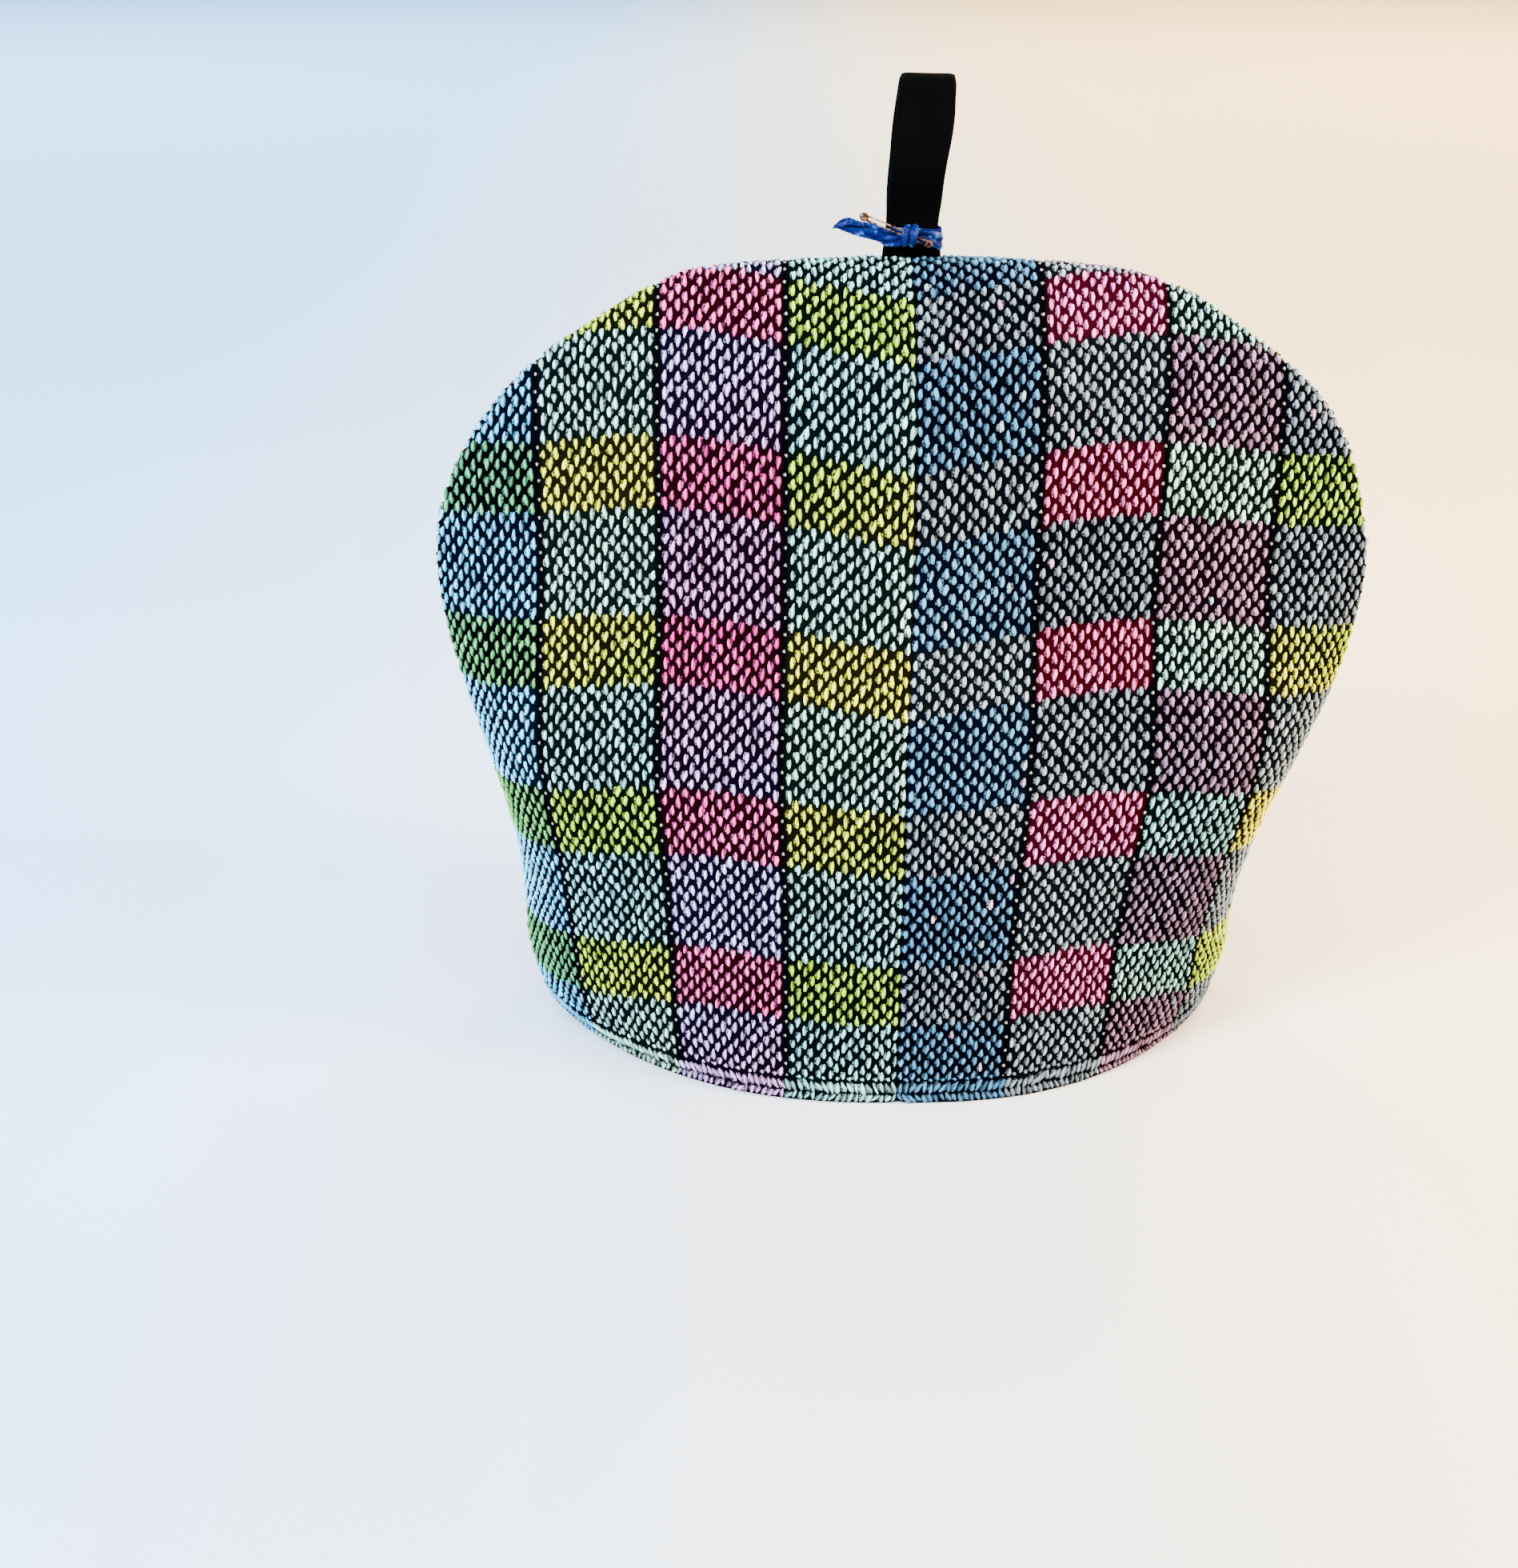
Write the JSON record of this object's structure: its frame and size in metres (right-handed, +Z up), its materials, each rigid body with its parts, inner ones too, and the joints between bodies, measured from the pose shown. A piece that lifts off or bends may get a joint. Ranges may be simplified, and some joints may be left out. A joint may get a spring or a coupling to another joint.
{
  "type": "tea cosy",
  "caption": "Woven cloth tea cosy, dome shaped and flat sided, seamed down the middle and over the crown, with a tape hanging loop, a ribbon tie and a safety pin",
  "frame": {"origin": "on the surface the hem rests on, under the middle of the cosy's overall box", "axes": "+Z up to the hanging loop, -Y out of the front panels, +X to the right seen from the front"},
  "size_m": [0.2697, 0.1214, 0.2811],
  "materials": {
    "cloth_front_left": "matt woven cloth, knobbly",
    "cloth_front_right": "matt woven cloth, knobbly",
    "cloth_back_left": "matt woven cloth, knobbly",
    "cloth_back_right": "matt woven cloth, knobbly",
    "black_tape": "matt woven tape",
    "blue_satin": "satin",
    "pin_brass": "polished wire"
  },
  "bodies": {
    "root": {"gore_front_left": "cloth_front_left", "gore_front_right": "cloth_front_right", "gore_back_left": "cloth_back_left", "gore_back_right": "cloth_back_right", "hanging_loop": "black_tape", "ribbon_tie": "blue_satin", "safety_pin": "pin_brass"}
  },
  "joints": []
}
